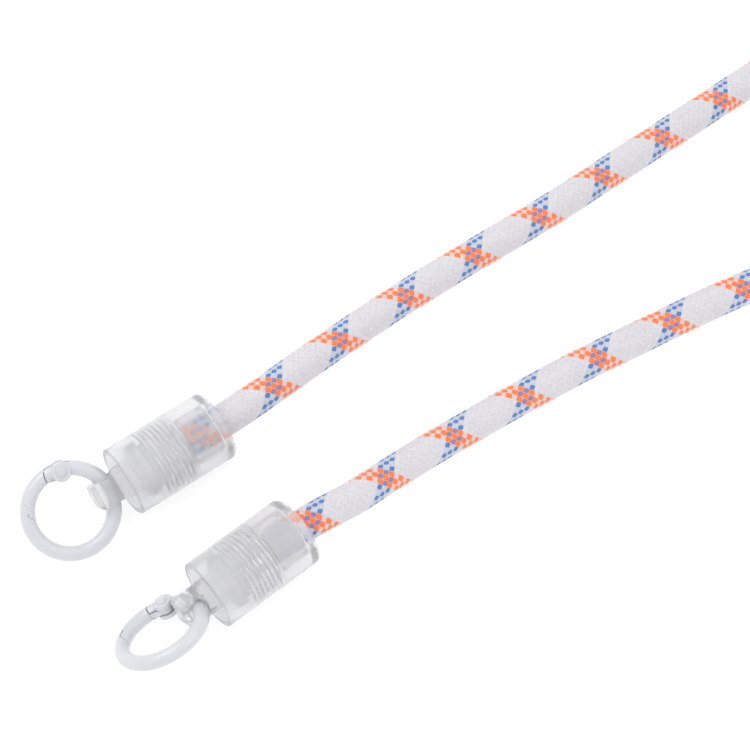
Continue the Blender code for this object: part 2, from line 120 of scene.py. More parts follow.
class StrapColours(bpy.types.PropertyGroup):
    """Colours of the strap, shown as linear values."""
    rope_white: FloatVectorProperty(name="Rope", description="Ground strands", subtype="COLOR",
                                    size=3, min=0, max=1, default=linear("#D9D7DC"))
    tracer_orange: FloatVectorProperty(name="Orange tracer", description="Strands of the right-hand helix",
                                       subtype="COLOR", size=3, min=0, max=1, default=linear("#FF8248"))
    tracer_blue: FloatVectorProperty(name="Blue tracer", description="Strands of the left-hand helix",
                                     subtype="COLOR", size=3, min=0, max=1, default=linear("#5283C2"))
    enamel: FloatVectorProperty(name="Enamel", description="Ring and gate paint", subtype="COLOR",
                                size=3, min=0, max=1, default=linear("#D2D3D8"))
    clear: FloatVectorProperty(name="Clear plastic", description="Tint of the barrels and plugs",
                               subtype="COLOR", size=3, min=0, max=1, default=linear("#FAFAFC"))


# ---------------------------------------------------------------- shapes

def grid_mesh(name, points, close_along=False, uv=None, smooth_angle=40.0):
    """Closed mesh of a surface P(i, j), j going round and joining up; i joins up too, or ends in flat caps.

    points is (rows, columns, 3) in millimetres. uv, for a surface with caps, is the same grid with one column
    more, so that the seam is whole. Faces are turned so that the enclosed volume, the sum of p0.(p1 x p2)/6,
    is positive.
    """
    rows, columns = points.shape[:2]
    i = np.arange(rows if close_along else rows - 1)[:, None]
    j = np.arange(columns)[None, :]
    following, beside = (i + 1) % rows, (j + 1) % columns
    quads = np.stack([i * columns + j, following * columns + j, following * columns + beside,
                      i * columns + beside], -1).reshape(-1, 4)
    loops, sizes = quads.ravel(), np.full(len(quads), 4)
    if not close_along:
        first, last = np.arange(columns), (rows - 1) * columns + np.arange(columns)[::-1]
        loops = np.concatenate([loops, first, last])
        sizes = np.concatenate([sizes, [columns, columns]])
    flat = points.reshape(-1, 3)
    corner = flat[quads]
    volume = np.einsum("ij,ij->", corner[:, 0], np.cross(corner[:, 1], corner[:, 2]))
    volume += np.einsum("ij,ij->", corner[:, 0], np.cross(corner[:, 2], corner[:, 3]))
    if not close_along:
        for cap in (points[0], points[-1][::-1]):
            volume += np.einsum("ij,j->", np.cross(cap, np.roll(cap, -1, axis=0)), cap.mean(0))
    mesh = bpy.data.meshes.new(name)
    mesh.vertices.add(len(flat))
    mesh.vertices.foreach_set("co", (flat * MM).ravel().astype(np.float32))
    starts = np.concatenate([[0], np.cumsum(sizes)[:-1]])
    order = np.arange(len(loops))
    if volume < 0:
        ends = np.repeat(starts + sizes - 1, sizes)
        order = ends - (order - np.repeat(starts, sizes))
    mesh.loops.add(len(loops))
    mesh.loops.foreach_set("vertex_index", loops[order].astype(np.int32))
    mesh.polygons.add(len(sizes))
    mesh.polygons.foreach_set("loop_start", starts.astype(np.int32))
    mesh.polygons.foreach_set("loop_total", sizes.astype(np.int32))
    if uv is not None:
        wide = columns + 1
        here = i * wide + j
        at = np.stack([here, here + wide, here + wide + 1, here + 1], -1).reshape(-1)
        pairs = uv.reshape(-1, 2)[at]
        caps = np.concatenate([uv[0, :-1], uv[-1, :-1][::-1]])
        pairs = np.concatenate([pairs, caps])[order]
        layer = mesh.uv_layers.new(name="strands")
        layer.uv.foreach_set("vector", pairs.ravel().astype(np.float32))
    mesh.update(calc_edges=True)
    mesh.validate()
    mesh.shade_smooth()
    mesh.set_sharp_from_angle(angle=math.radians(smooth_angle))
    return mesh


def moved(points, matrix):
    """Points carried by a 4x4 matrix: R p + t."""
    return points @ matrix[:3, :3].T + matrix[:3, 3]


def revolve(profile, columns, radius_change=None):
    """Surface of revolution about X: (x, r cos t, r sin t), with r = profile radius + radius_change(x, t)."""
    profile = np.asarray(profile, float)
    angle = np.linspace(0, 2 * np.pi, columns, endpoint=False)[None, :]
    x = np.repeat(profile[:, :1], columns, axis=1)
    radius = np.repeat(profile[:, 1:2], columns, axis=1)
    if radius_change is not None:
        radius = radius + radius_change(x, angle)
    return np.stack([x, radius * np.cos(angle), radius * np.sin(angle)], -1)


def about_z(points):
    """The same surface about Z in place of X."""
    return points[..., ::-1]


def arc(centre, radius, start, end, steps):
    """Points centre + radius (cos t, sin t), t in degrees from start to end."""
    angle = np.radians(np.linspace(start, end, steps + 1))
    return np.stack([centre[0] + radius * np.cos(angle), centre[1] + radius * np.sin(angle)], -1)


def line(start, end, steps):
    """Points start + (end - start) k / steps, without the last."""
    share = np.arange(steps)[:, None] / steps
    return np.asarray(start, float) + (np.asarray(end, float) - np.asarray(start, float)) * share


def rounded(corners, radius, steps=4):
    """A closed outline, each corner cut by a quadratic curve from radius before it to radius after it."""
    corners = np.asarray(corners, float)
    before, after = np.roll(corners, 1, axis=0), np.roll(corners, -1, axis=0)
    inward, outward = before - corners, after - corners
    reach_in = np.minimum(radius, 0.45 * np.linalg.norm(inward, axis=1))[:, None]
    reach_out = np.minimum(radius, 0.45 * np.linalg.norm(outward, axis=1))[:, None]
    start = corners + inward / np.linalg.norm(inward, axis=1)[:, None] * reach_in
    end = corners + outward / np.linalg.norm(outward, axis=1)[:, None] * reach_out
    t = np.linspace(0, 1, steps + 1)[None, :, None]
    curve = (1 - t) ** 2 * start[:, None] + 2 * t * (1 - t) * corners[:, None] + t ** 2 * end[:, None]
    return curve.reshape(-1, 2)


def sweep(path, radius, columns, facing, closed=False):
    """Tube about a path: P(i, t) = C(i) + r (cos t N(i) + sin t V(i)).

    N is the part of facing that is square to the tangent, V = T x N. radius is a number or a grid of
    (rows, columns).
    """
    tangent = np.gradient(path, axis=0)
    if closed:
        tangent = np.roll(path, -1, axis=0) - np.roll(path, 1, axis=0)
    tangent /= np.linalg.norm(tangent, axis=1)[:, None]
    normal = facing - np.sum(tangent * facing, axis=1)[:, None] * tangent
    normal /= np.linalg.norm(normal, axis=1)[:, None]
    side = np.cross(tangent, normal)
    angle = np.linspace(-np.pi, np.pi, columns, endpoint=False)
    reach = np.broadcast_to(np.asarray(radius, float), (len(path), columns))[..., None]
    return path[:, None] + reach * (np.cos(angle)[None, :, None] * normal[:, None]
                                    + np.sin(angle)[None, :, None] * side[:, None])


def smooth_route(route, steps=40):
    """Catmull-Rom curve through a route: cubics whose slope at a point is half the step across it."""
    route = np.asarray(route, float)
    padded = np.vstack([2 * route[0] - route[1], route, 2 * route[-1] - route[-2]])
    t = np.linspace(0, 1, steps, endpoint=False)[None, :, None]
    p0, p1, p2, p3 = [padded[k:len(padded) - 3 + k][:, None] for k in range(4)]
    curve = 0.5 * (2 * p1 + (p2 - p0) * t + (2 * p0 - 5 * p1 + 4 * p2 - p3) * t ** 2
                   + (3 * p1 - p0 - 3 * p2 + p3) * t ** 3)
    return np.vstack([curve.reshape(-1, 3), route[-1:]])


def piece(name, mesh, material, body, replaces=()):
    """Link a mesh as a finished piece: painted, riding on its body and standing for its CAD nodes."""
    made = bpy.data.objects.new(name, mesh)
    bpy.context.collection.objects.link(made)
    mesh.materials.clear()
    mesh.materials.append(material)
    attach(made, body)
    if replaces:
        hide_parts(*replaces)
    return made


def carve(name, base, steps, smooth_angle=35.0):
    """Mesh of base after exact unions and cuts, each step an (operation, mesh) pair; the tools go."""
    holder = bpy.data.objects.new(name + "_work", base)
    bpy.context.collection.objects.link(holder)
    tools = []
    for operation, mesh in steps:
        tool = bpy.data.objects.new(name + "_tool", mesh)
        bpy.context.collection.objects.link(tool)
        modifier = holder.modifiers.new("carve", "BOOLEAN")
        modifier.operation, modifier.solver, modifier.object = operation, "EXACT", tool
        tools.append(tool)
    bpy.context.view_layer.update()
    evaluated = holder.evaluated_get(bpy.context.evaluated_depsgraph_get())
    mesh = bpy.data.meshes.new_from_object(evaluated)
    mesh.name = name
    for old in [holder] + tools:
        data = old.data
        bpy.data.objects.remove(old, do_unlink=True)
        bpy.data.meshes.remove(data)
    mesh.shade_smooth()
    mesh.set_sharp_from_angle(angle=math.radians(smooth_angle))
    return mesh


# ---------------------------------------------------------------- where the pieces lie

def rigid(x_axis, y_axis, z_axis, origin):
    """4x4 matrix with these axes as columns and this origin."""
    matrix = np.eye(4)
    matrix[:3, 0], matrix[:3, 1], matrix[:3, 2], matrix[:3, 3] = x_axis, y_axis, z_axis, origin
    return matrix


def fitting_frame(end):
    """Frame of a barrel: x from its rim towards the rope, z up."""
    values = ENDS[end]
    yaw = math.radians(values["yaw"])
    origin = np.array([*values["rim"], BARREL_R]) + SHIFT
    return rigid((math.cos(yaw), math.sin(yaw), 0), (-math.sin(yaw), math.cos(yaw), 0), (0, 0, 1), origin)


def lug_frame(end):
    """Frame of the lug in the fitting: z along the eye."""
    roll = math.radians(ENDS[end]["roll"])
    eye_axis = np.array([0, math.cos(roll), math.sin(roll)])
    along = np.array([1.0, 0, 0])
    return fitting_frame(end) @ rigid(along, np.cross(eye_axis, along), eye_axis, (0, 0, 0))


def ring_frame(end):
    """Frame of a ring: x towards the rivet, z square to the ring, as the CAD sets it."""
    values = ENDS[end]
    roll, swing, slew, turn = [math.radians(values[k]) for k in ("roll", "swing", "slew", "rivet")]
    along = np.array([1.0, 0, 0])
    eye_axis = np.array([0, math.cos(roll), math.sin(roll)])
    outward = along * math.cos(swing) + np.cross(along, eye_axis) * math.sin(swing)
    normal = np.cross(outward, eye_axis)
    to_eye = outward * math.cos(slew) + eye_axis * math.sin(slew)
    side = np.cross(normal, to_eye)
    slack = (RING_R - math.sqrt(RING_R ** 2 - (LUG_THICK / 2) ** 2)) / 2
    centre = np.array([EYE_X, 0, 0]) + to_eye * (slack - RING_R)
    x_axis = to_eye * math.cos(turn) + side * math.sin(turn)
    return fitting_frame(end) @ rigid(x_axis, np.cross(normal, x_axis), normal, centre)


def rope_path():
    """Centres of the rope's rings from the cut end in barrel A, round the coil, to the cut end in barrel B.

    The coil is a helix C + R (cos t, sin t), rising one rope diameter a turn, t falling from a quarter turn.
    Returns the centres, the distance along the rope at each, and the whole length, millimetres.
    """
    starts = {}
    for end, lead in (("a", LEAD_A + REACH_A), ("b", LEAD_B)):
        inside = moved(np.array([[ROPE_START_X, 0, 0], [BARREL_LEN, 0, 0]]), fitting_frame(end))
        starts[end] = np.vstack([inside, np.array(lead) + SHIFT])
    steps = 16
    turn = np.arange(0, COIL_TURNS * steps + 1) / steps
    angle = np.pi / 2 - 2 * np.pi * turn
    helix = np.stack([COIL_CENTRE[0] + COIL_R * np.cos(angle), COIL_CENTRE[1] + COIL_R * np.sin(angle),
                      COIL_START_Z + COIL_PITCH * turn], -1) + SHIFT
    curve = smooth_route(np.vstack([starts["a"], helix, starts["b"][::-1]]))
    along = np.concatenate([[0], np.cumsum(np.linalg.norm(np.diff(curve, axis=0), axis=1))])
    whole = along[-1]
    fine, coarse, reach = 0.45, 1.15, 215.0
    fine_rows, coarse_rows = round(reach / fine), round((whole - 2 * reach) / coarse)
    places = np.concatenate([np.linspace(0, reach, fine_rows, endpoint=False),
                             np.linspace(reach, whole - reach, coarse_rows, endpoint=False),
                             np.linspace(whole - reach, whole, fine_rows + 1)])
    centres = np.stack([np.interp(places, along, curve[:, k]) for k in range(3)], -1)
    return centres, places, whole


def braid_turns(places, whole):
    """Turns of the tracer helices at each place: whole where orange and blue cross on the upper side."""
    from_a = places - CROSS_A
    near_a = 1 + from_a / PITCH_A * (1 + SHORTEN_A * from_a)
    reach, middle_pitch = 200.0, 22.0
    end_a = 1 + (reach - CROSS_A) / PITCH_A * (1 + SHORTEN_A * (reach - CROSS_A))
    short_of_b = (reach - CROSS_B) / PITCH_B
    total = round(end_a + (whole - 2 * reach) / middle_pitch + short_of_b)
    near_b = total - (whole - places - CROSS_B) / PITCH_B
    middle = np.interp(places, [reach, whole - reach], [end_a, total - short_of_b])
    return np.where(places < reach, near_a, np.where(places > whole - reach, near_b, middle))


def strand_height(across, along):
    """Height of a strand's pillow, 1 at its middle: (1 - (2c)^4)(1 - 0.9 (2d)^2), c and d within 1/2."""
    return (1 - (2 * across) ** 4) * (1 - 0.9 * (2 * along) ** 2)


# ---------------------------------------------------------------- materials

def fill_node(tree, node, *values, **named):
    """Set a node's first sockets by values, and its properties and other sockets by name.

    In a socket's name _ stands for a space, and _6 is the socket at place 6. A node given as a value stands
    for its first output.
    """
    for name, value in [*enumerate(values), *named.items()]:
        if name in node.bl_rna.properties.keys():
            setattr(node, name, value)
            continue
        if isinstance(name, str):
            name = int(name[1:]) if name[1:].isdigit() else name.replace("_", " ")
        if isinstance(value, bpy.types.Node):
            value = value.outputs[0]
        if isinstance(value, bpy.types.NodeSocket):
            tree.links.new(value, node.inputs[name])
        else:
            node.inputs[name].default_value = value
    return node


def add_node(tree, kind, *values, **named):
    """Add a node of this kind with its settings and links."""
    return fill_node(tree, tree.nodes.new("ShaderNode" + kind), *values, **named)


def new_material(name, colour, roughness, **settings):
    """A Principled material with these socket values.

    Returns it, a call that adds a node to it, a call that fills its shader, and its Object coordinates.
    """
    made = bpy.data.materials.new(name)
    made.use_nodes = True
    made.diffuse_color = (*colour, 1)
    tree = made.node_tree
    finish = partial(fill_node, tree, tree.nodes["Principled BSDF"])
    finish(Base_Color=(*colour, 1), Roughness=roughness, **settings)
    add = partial(add_node, tree)
    return made, add, finish, add("TexCoord").outputs["Object"]


def braided_polyester(colours):
    """Braided polyester rope: matt fibre bundles, each crossing a small pillow with shade in the gaps.

    UV holds the right-hand and left-hand strand numbers. A crossing shows the right-hand strand where the two
    numbers' sum is even. Three neighbours in twelve of each hand are coloured. A coloured strand shows as a
    squircle, x^4 + y^4 + k x y < 1 with x across and y along it, each over its reach; k draws it out along
    the rope. What it dives under takes a little of its colour.
    """
    made, add, finish, place = new_material("braided_polyester", colours.rope_white, 0.8, Sheen_Weight=0.25,
                                            Sheen_Roughness=0.4)
    numbers = add("SeparateXYZ", add("UVMap", uv_map="strands")).outputs
    right, left = [add("Math", numbers[k], 0.5, operation="ADD") for k in (0, 1)]
    right_index, left_index = [add("Math", value, operation="FLOOR") for value in (right, left)]
    right_share, left_share = [
        add("Math", add("Math", value, index, operation="SUBTRACT"), 0.5, operation="SUBTRACT")
        for value, index in ((right, right_index), (left, left_index))]
    odd = add("Math", add("Math", right_index, left_index, operation="ADD"), 2.0, operation="FLOORED_MODULO")
    even = add("Math", 1.0, odd, operation="SUBTRACT")
    right_coloured, left_coloured = [
        add("Math", add("Math", add("Math", index, 1.0, operation="ADD"), float(STRANDS),
                        operation="FLOORED_MODULO"), 2.5, operation="LESS_THAN")
        for index in (right_index, left_index)]

    def shows(coloured, index, share, other, parity, half_across, half_along, slant):
        """Squircle about the nearest crossing where this strand is on top, with a soft edge."""
        turned = add("Math", add("Math", other, index, operation="ADD"), parity, operation="ADD")
        turned = add("Math", turned, 2.0, operation="FLOORED_MODULO")
        off = add("Math", add("Math", turned, 1.0, operation="SUBTRACT"), half_along, operation="DIVIDE")
        beside = add("Math", share, half_across, operation="DIVIDE")
        fourth = [add("Math", add("Math", value, operation="ABSOLUTE"), 4.0, operation="POWER")
                  for value in (off, beside)]
        size = add("Math", *fourth, operation="ADD")
        product = add("Math", off, beside, operation="MULTIPLY")
        size = add("Math", product, slant, size, operation="MULTIPLY_ADD")
        soft = add("Math", size, -1.6, 2.1, operation="MULTIPLY_ADD", use_clamp=True)
        return add("Math", coloured, soft, operation="MULTIPLY")

    orange = shows(right_coloured, right_index, right_share, numbers[1], 1.0, 0.55, 0.57, 0.0)
    blue = shows(left_coloured, left_index, left_share, numbers[0], 0.0, 0.45, 0.45, 0.8)
    # distance across and along the upper strand
    across, along = [
        add("Math", add("Math", first, even, operation="MULTIPLY"),
            add("Math", second, odd, operation="MULTIPLY"), operation="ADD")
        for first, second in ((right_share, left_share), (left_share, right_share))]
    falls = [add("Math", 1.0, add("Math", steep, add("Math", value, value, operation="MULTIPLY"),
                                  operation="MULTIPLY"), operation="SUBTRACT")
             for value, steep in ((across, 3.6), (along, 2.6))]
    pillow = add("Math", *falls, operation="MULTIPLY")
    # yarns run along the strand: two in its 1.5 mm width, coarser than life so that they show
    ridge = add("Math", add("Math", across, 12.57, operation="MULTIPLY"), operation="COSINE")
    # fibre ends about 0.8 mm apart, coarser than life so that they show, and dye that varies over 6 mm
    fuzz = add("TexNoise", Vector=place, Scale=1300.0, Detail=3.0, Roughness=0.75)
    blotch = add("TexNoise", Vector=place, Scale=160.0, Detail=2.0)
    colour = (*colours.rope_white, 1)
    for mask, hidden, tracer in ((blue, left_coloured, colours.tracer_blue),
                                 (orange, right_coloured, colours.tracer_orange)):
        share = add("Math", mask, add("Math", hidden, 0.2, operation="MULTIPLY"), operation="MAXIMUM")
        colour = add("Mix", share, data_type="RGBA", _6=colour, _7=(*tracer, 1)).outputs[2]
    # painted shade: the base colour darkens a little towards the gaps round each strand's pillow
    level = add("Math", pillow, 0.05, 0.90, operation="MULTIPLY_ADD")
    for part in (add("Math", ridge, 0.045, operation="MULTIPLY"),
                 add("Math", fuzz, 0.42, -0.19, operation="MULTIPLY_ADD"),
                 add("Math", blotch, 0.05, -0.02, operation="MULTIPLY_ADD")):
        level = add("Math", level, part, operation="ADD")
    # painted light: the rope inside the barrels is made brighter, standing in for the light that the clear
    # plastic holds back, and its colours deeper so that the tracers keep their strength
    bonded = add("Attribute", attribute_name="bonded").outputs["Fac"]
    painted_light_inside = add("HueSaturation", Color=colour,
              Saturation=add("Math", bonded, 0.35, 1.0, operation="MULTIPLY_ADD"),
              Value=add("Math", bonded, 0.42, 1.0, operation="MULTIPLY_ADD"))
    height = add("Math", pillow, 0.6, operation="MULTIPLY")
    for part, share in ((ridge, 0.12), (fuzz, 0.5)):
        height = add("Math", part, share, height, operation="MULTIPLY_ADD")
    finish(Base_Color=add("VectorMath", painted_light_inside, operation="SCALE", Scale=level),
           Normal=add("Bump", Strength=0.6, Distance=0.00018, Height=height))
    return made


def polished_acrylic(colours, name="polished_acrylic", clarity=0.77, index=1.38):
    """Moulded clear acrylic: faint flow waves, and a milky haze at each face softens what shows through.

    Its index is under acrylic's 1.49, as haze also softens the edges. The adhesive sleeve is clearer and
    bends light less. The haze varies over 4.5 mm and the flow waves over 3 mm.
    """
    made, add, finish, place = new_material(name, colours.clear, 0.05, IOR=index, Transmission_Weight=clarity)
    haze = add("TexNoise", Vector=place, Scale=220.0, Detail=3.0)
    flow = add("TexNoise", Vector=place, Scale=330.0, Detail=1.0)
    finish(Roughness=add("MapRange", haze, From_Min=0.35, From_Max=0.7, To_Min=0.10, To_Max=0.26),
           Normal=add("Bump", Strength=0.25, Distance=0.00012, Height=flow))
    return made


def stove_enamel(colours, name="stove_enamel", roughness=0.2, wear=0.0):
    """White enamel baked on a zinc casting: glossy, with 1.1 mm orange peel and duller clouds of 8 mm."""
    made, add, finish, place = new_material(name, colours.enamel, roughness, Coat_Weight=0.6,
                                            Coat_Roughness=0.08)
    peel = add("TexNoise", Vector=place, Scale=900.0, Detail=2.0)
    cloud = add("TexNoise", Vector=place, Scale=120.0, Detail=3.0)
    level = add("Math", cloud, 0.08 + wear, 0.95 - wear, operation="MULTIPLY_ADD")
    finish(Base_Color=add("VectorMath", tuple(colours.enamel), operation="SCALE", Scale=level),
           Roughness=add("Math", cloud, 0.18, roughness - 0.05, operation="MULTIPLY_ADD"),
           Normal=add("Bump", Strength=0.15, Distance=0.00008, Height=peel))
    return made


def bright_spring_wire():
    """Drawn spring wire: bright steel, its drawing marks 0.3 mm apart, which is coarser than life."""
    made, add, finish, place = new_material("bright_spring_wire", linear("#8E8F94"), 0.3, Metallic=1.0)
    marks = add("TexNoise", Vector=place, Scale=3000.0, Detail=2.0)
    finish(Roughness=add("Math", marks, 0.3, 0.15, operation="MULTIPLY_ADD"))
    return made


def fused_fibre(colours):
    """Hot-cut rope end: fibres melted to a hard, slightly glossy skin with lumps of 1.4 mm."""
    made, add, finish, place = new_material("fused_fibre", colours.rope_white, 0.35)
    lumps = add("TexNoise", Vector=place, Scale=700.0, Detail=4.0)
    tint = add("Mix", lumps, data_type="RGBA", _6=(*linear("#C9C3C6"), 1), _7=(*colours.rope_white, 1))
    finish(Base_Color=tint.outputs[2], Normal=add("Bump", Strength=0.6, Distance=0.0002, Height=lumps))
    return made


def woven_tape(colours):
    """Narrow woven polyester tape: plain weave, a thread every millimetre, coarser than life to show."""
    made, add, finish, place = new_material("woven_tape", colours.rope_white, 0.9, Sheen_Weight=0.2)
    warp, weft = [add("TexWave", bands_direction=way, Vector=place, Scale=310.0, Distortion=0.4).outputs[1]
                  for way in "ZY"]
    weave = add("Math", warp, weft, operation="MULTIPLY")
    level = add("Math", weave, 0.25, 0.72, operation="MULTIPLY_ADD")
    finish(Base_Color=add("VectorMath", tuple(colours.rope_white), operation="SCALE", Scale=level),
           Normal=add("Bump", Strength=0.6, Distance=0.0002, Height=weave))
    return made


def matt_white_paper():
    """Seamless backdrop paper: matt, cloudy over 80 mm, lit from behind so that shadows lose their colour."""
    made, add, finish, place = new_material("matt_white_paper", linear("#B4B4B5"), 0.9,
                                            Specular_IOR_Level=0.2, Emission_Color=(*linear("#FFFFFF"), 1),
                                            Emission_Strength=0.66)
    cloud = add("TexNoise", Vector=place, Scale=12.0, Detail=2.0)
    tint = add("Mix", cloud, data_type="RGBA", _6=(*linear("#B2B2B3"), 1), _7=(*linear("#B6B6B7"), 1))
    finish(Base_Color=tint.outputs[2])
    return made


def material_of(name, maker, *values):
    """The named material, made the first time."""
    return bpy.data.materials.get(name) or maker(*values)


# ---------------------------------------------------------------- operators

class STRAP_OT_rope(bpy.types.Operator):
    """Make the braided rope: both leads and the coil, one length of rope"""
    bl_idname = "strap.rope"
    bl_label = "Braided Rope"

    def execute(self, context):
        sizes, colours = context.scene.strap_sizes, context.scene.strap_colours
        centres, places, whole = rope_path()
        turns = braid_turns(places, whole)
        columns = 48
        angle = np.linspace(-np.pi, np.pi, columns + 1)[None, :]
        right = STRANDS * (angle / (2 * np.pi) - turns[:, None])
        left = STRANDS * (angle / (2 * np.pi) + turns[:, None])
        uv = np.stack([right, left], -1)
        right_index, left_index = np.floor(right + 0.5), np.floor(left + 0.5)
        even = (right_index + left_index) % 2 == 0
        right_share, left_share = right - right_index, left - left_index
        height = strand_height(np.where(even, right_share, left_share),
                               np.where(even, left_share, right_share))
        outer, proud = sizes.rope_diameter / 2 / MM, sizes.strand_height / MM
        radius = outer - proud * (1 - height[:, :-1])
        facing = (CAMERA_AT - CAMERA_AIM) / np.linalg.norm(CAMERA_AT - CAMERA_AIM)
        points = sweep(centres, radius, columns, facing)
        mesh = grid_mesh("braided_rope", points, uv=uv, smooth_angle=80)
        # marks the rope inside each barrel, where the rope material paints in light that the plastic holds
        # back
        bonded = mesh.attributes.new("bonded", "FLOAT", "POINT")
        inside = np.clip(BONDED - np.minimum(places, whole - places), 0, 1)
        bonded.data.foreach_set("value", np.repeat(inside, columns).astype(np.float32))
        rope = piece("braided_rope", mesh, material_of("braided_polyester", braided_polyester, colours),
                     "strap", ("rope_lead_a", "rope_lead_b", "rope_coil"))
        return {"FINISHED"}


class STRAP_OT_tie(bpy.types.Operator):
    """Make the tape tie round the coil"""
    bl_idname = "strap.tie"
    bl_label = "Coil Tie"

    def execute(self, context):
        """The loop is a rounded rectangle across the coil's rope; each section is a thin superellipse."""
        sizes, colours = context.scene.strap_sizes, context.scene.strap_colours
        gap, half_tape, rope_radius, turns_held = 0.55, 0.35, 4.5, 2.2
        low, high = COIL_START_Z - rope_radius, COIL_START_Z + COIL_PITCH * turns_held + rope_radius
        inner, outer = COIL_R - rope_radius - gap - 0.4, COIL_R + rope_radius + gap
        corners = [(inner, low - gap), (outer, low - gap), (outer, high + gap), (inner, high + gap)]
        loop = rounded(corners, 4.2, 9)
        turn = math.radians(TIE_ANGLE)
        radial = np.array([math.cos(turn), math.sin(turn), 0])
        beside = np.array([-radial[1], radial[0], 0])
        path = loop[:, :1] * radial + loop[:, 1:] * np.array([0, 0, 1.0])
        path += np.array([*COIL_CENTRE, 0]) + SHIFT
        tangent = np.roll(path, -1, axis=0) - np.roll(path, 1, axis=0)
        tangent /= np.linalg.norm(tangent, axis=1)[:, None]
        outward = np.cross(beside, tangent)
        angle = np.linspace(0, 2 * np.pi, 28, endpoint=False)
        thick = half_tape * np.sign(np.cos(angle)) * np.abs(np.cos(angle)) ** 0.5
        wide = sizes.tie_width / 2 / MM * np.sign(np.sin(angle)) * np.abs(np.sin(angle)) ** 0.35
        points = path[:, None] + thick[None, :, None] * outward[:, None] + wide[None, :, None] * beside
        mesh = grid_mesh("tape_tie", points, close_along=True)
        piece("tape_tie", mesh, material_of("woven_tape", woven_tape, colours), "strap",
              ("coil_tie",))
        return {"FINISHED"}


class STRAP_OT_rope_ends(bpy.types.Operator):
    """Make the fused rope ends and the clear sleeves bonded over them"""
    bl_idname = "strap.rope_ends"
    bl_label = "Rope Ends"

    def execute(self, context):
        """Both are turned about the barrel's axis, each from a profile of (x, radius)."""
        colours = context.scene.strap_colours
        fibre = material_of("fused_fibre", fused_fibre, colours)
        adhesive = material_of("clear_adhesive", polished_acrylic, colours, "clear_adhesive", 0.97, 1.15)
        seal = [(18.78, 0.2), (18.74, 2.5), (18.78, 3.8), (18.9, 4.3), (19.05, 4.42), (19.2, 4.42),
                (19.2, 0.2)]
        sleeve = rounded([(19.5, 4.8), (19.5, 6.5), (27.0, 6.5), (27.0, 4.8)], 0.4, 3)
        for end in "ab":
            place = fitting_frame(end)
            mesh = grid_mesh("fused_end_" + end, moved(revolve(seal, 64), place))
            piece("fused_end_" + end, mesh, fibre, "strap", ("rope_end_seal_" + end,))
            mesh = grid_mesh("clear_sleeve_" + end, moved(revolve(sleeve, 72), place), close_along=True)
            piece("clear_sleeve_" + end, mesh, adhesive, "strap", ("rope_ferrule_" + end,))
        return {"FINISHED"}


def revolve_threaded(profile, first, rows, columns):
    """A profile turned about X, with the helical thread on this many of its rows from first on.

    Its height is a triangle wave of (x / pitch - angle / 2 pi), faded over 0.6 of a pitch at each end.
    """
    on_thread = np.zeros((len(profile), 1))
    on_thread[first:first + rows] = 1
    over, end = 0.6 * THREAD_PITCH, THREAD_X0 + THREAD_TURNS * THREAD_PITCH

    def height(x, angle):
        phase = (x - THREAD_X0) / THREAD_PITCH - angle / (2 * np.pi)
        wave = 1 - 2 * np.abs(phase - np.floor(phase) - 0.5)
        fade = np.clip((x - THREAD_X0) / over, 0, 1) * np.clip((end - x) / over, 0, 1)
        return on_thread * (THREAD_DEPTH * wave * fade)

    return revolve(profile, columns, height)


class STRAP_OT_barrels(bpy.types.Operator):
    """Make the clear barrels, their inner thread a true helix"""
    bl_idname = "strap.barrels"
    bl_label = "Clear Barrels"

    def execute(self, context):
        """One closed profile turned about the barrel's axis; the thread changes its radius along one part."""
        colours = context.scene.strap_colours
        wall = BARREL_LEN - END_WALL
        thread_end = THREAD_X0 + THREAD_TURNS * THREAD_PITCH
        groove = PLUG_ROOT_R + THREAD_GAP
        turn_x, turn_r = BARREL_LEN - ROPE_END_ROUND, BARREL_R - ROPE_END_ROUND
        outer = np.vstack([arc((0.5, BARREL_R - 0.5), 0.5, 180, 90, 5),
                           line((0.7, BARREL_R), (turn_x - 0.2, BARREL_R), 14),
                           arc((turn_x, turn_r), ROPE_END_ROUND, 90, 0, 9)])
        hole = np.vstack([arc((BARREL_LEN - 0.5, ROPE_HOLE_R + 0.5), 0.5, 0, -90, 4),
                          arc((wall + 0.3, ROPE_HOLE_R + 0.3), 0.3, -90, -180, 3),
                          arc((wall - 0.5, FERRULE_BORE_R - 0.5), 0.5, 0, 90, 4),
                          line((wall - 0.7, FERRULE_BORE_R), (thread_end + 0.5, FERRULE_BORE_R), 5),
                          line((thread_end + 0.2, FERRULE_BORE_R - 0.1), (thread_end, groove), 2)])
        threaded = line((thread_end, groove), (THREAD_X0, groove), THREAD_TURNS * 12)
        seat = np.vstack([[(SEAT_X + 0.15, groove), (SEAT_X, groove + 0.15), (SEAT_X, RIM_BORE_R - 0.4)],
                          arc((SEAT_X - 0.3, RIM_BORE_R - 0.3), 0.3, 0, 90, 3),
                          line((SEAT_X - 0.6, RIM_BORE_R), (0.3, RIM_BORE_R), 4),
                          arc((0.2, RIM_BORE_R + 0.2), 0.2, -90, -180, 2)])
        profile = np.vstack([outer, hole, threaded, seat])
        turned = revolve_threaded(profile, len(outer) + len(hole), len(threaded), 128)
        acrylic = material_of("polished_acrylic", polished_acrylic, colours)
        for end in "ab":
            mesh = grid_mesh("clear_barrel_" + end, moved(turned, fitting_frame(end)), close_along=True,
                             smooth_angle=38)
            piece("clear_barrel_" + end, mesh, acrylic, "strap", ("barrel_" + end,))
        return {"FINISHED"}


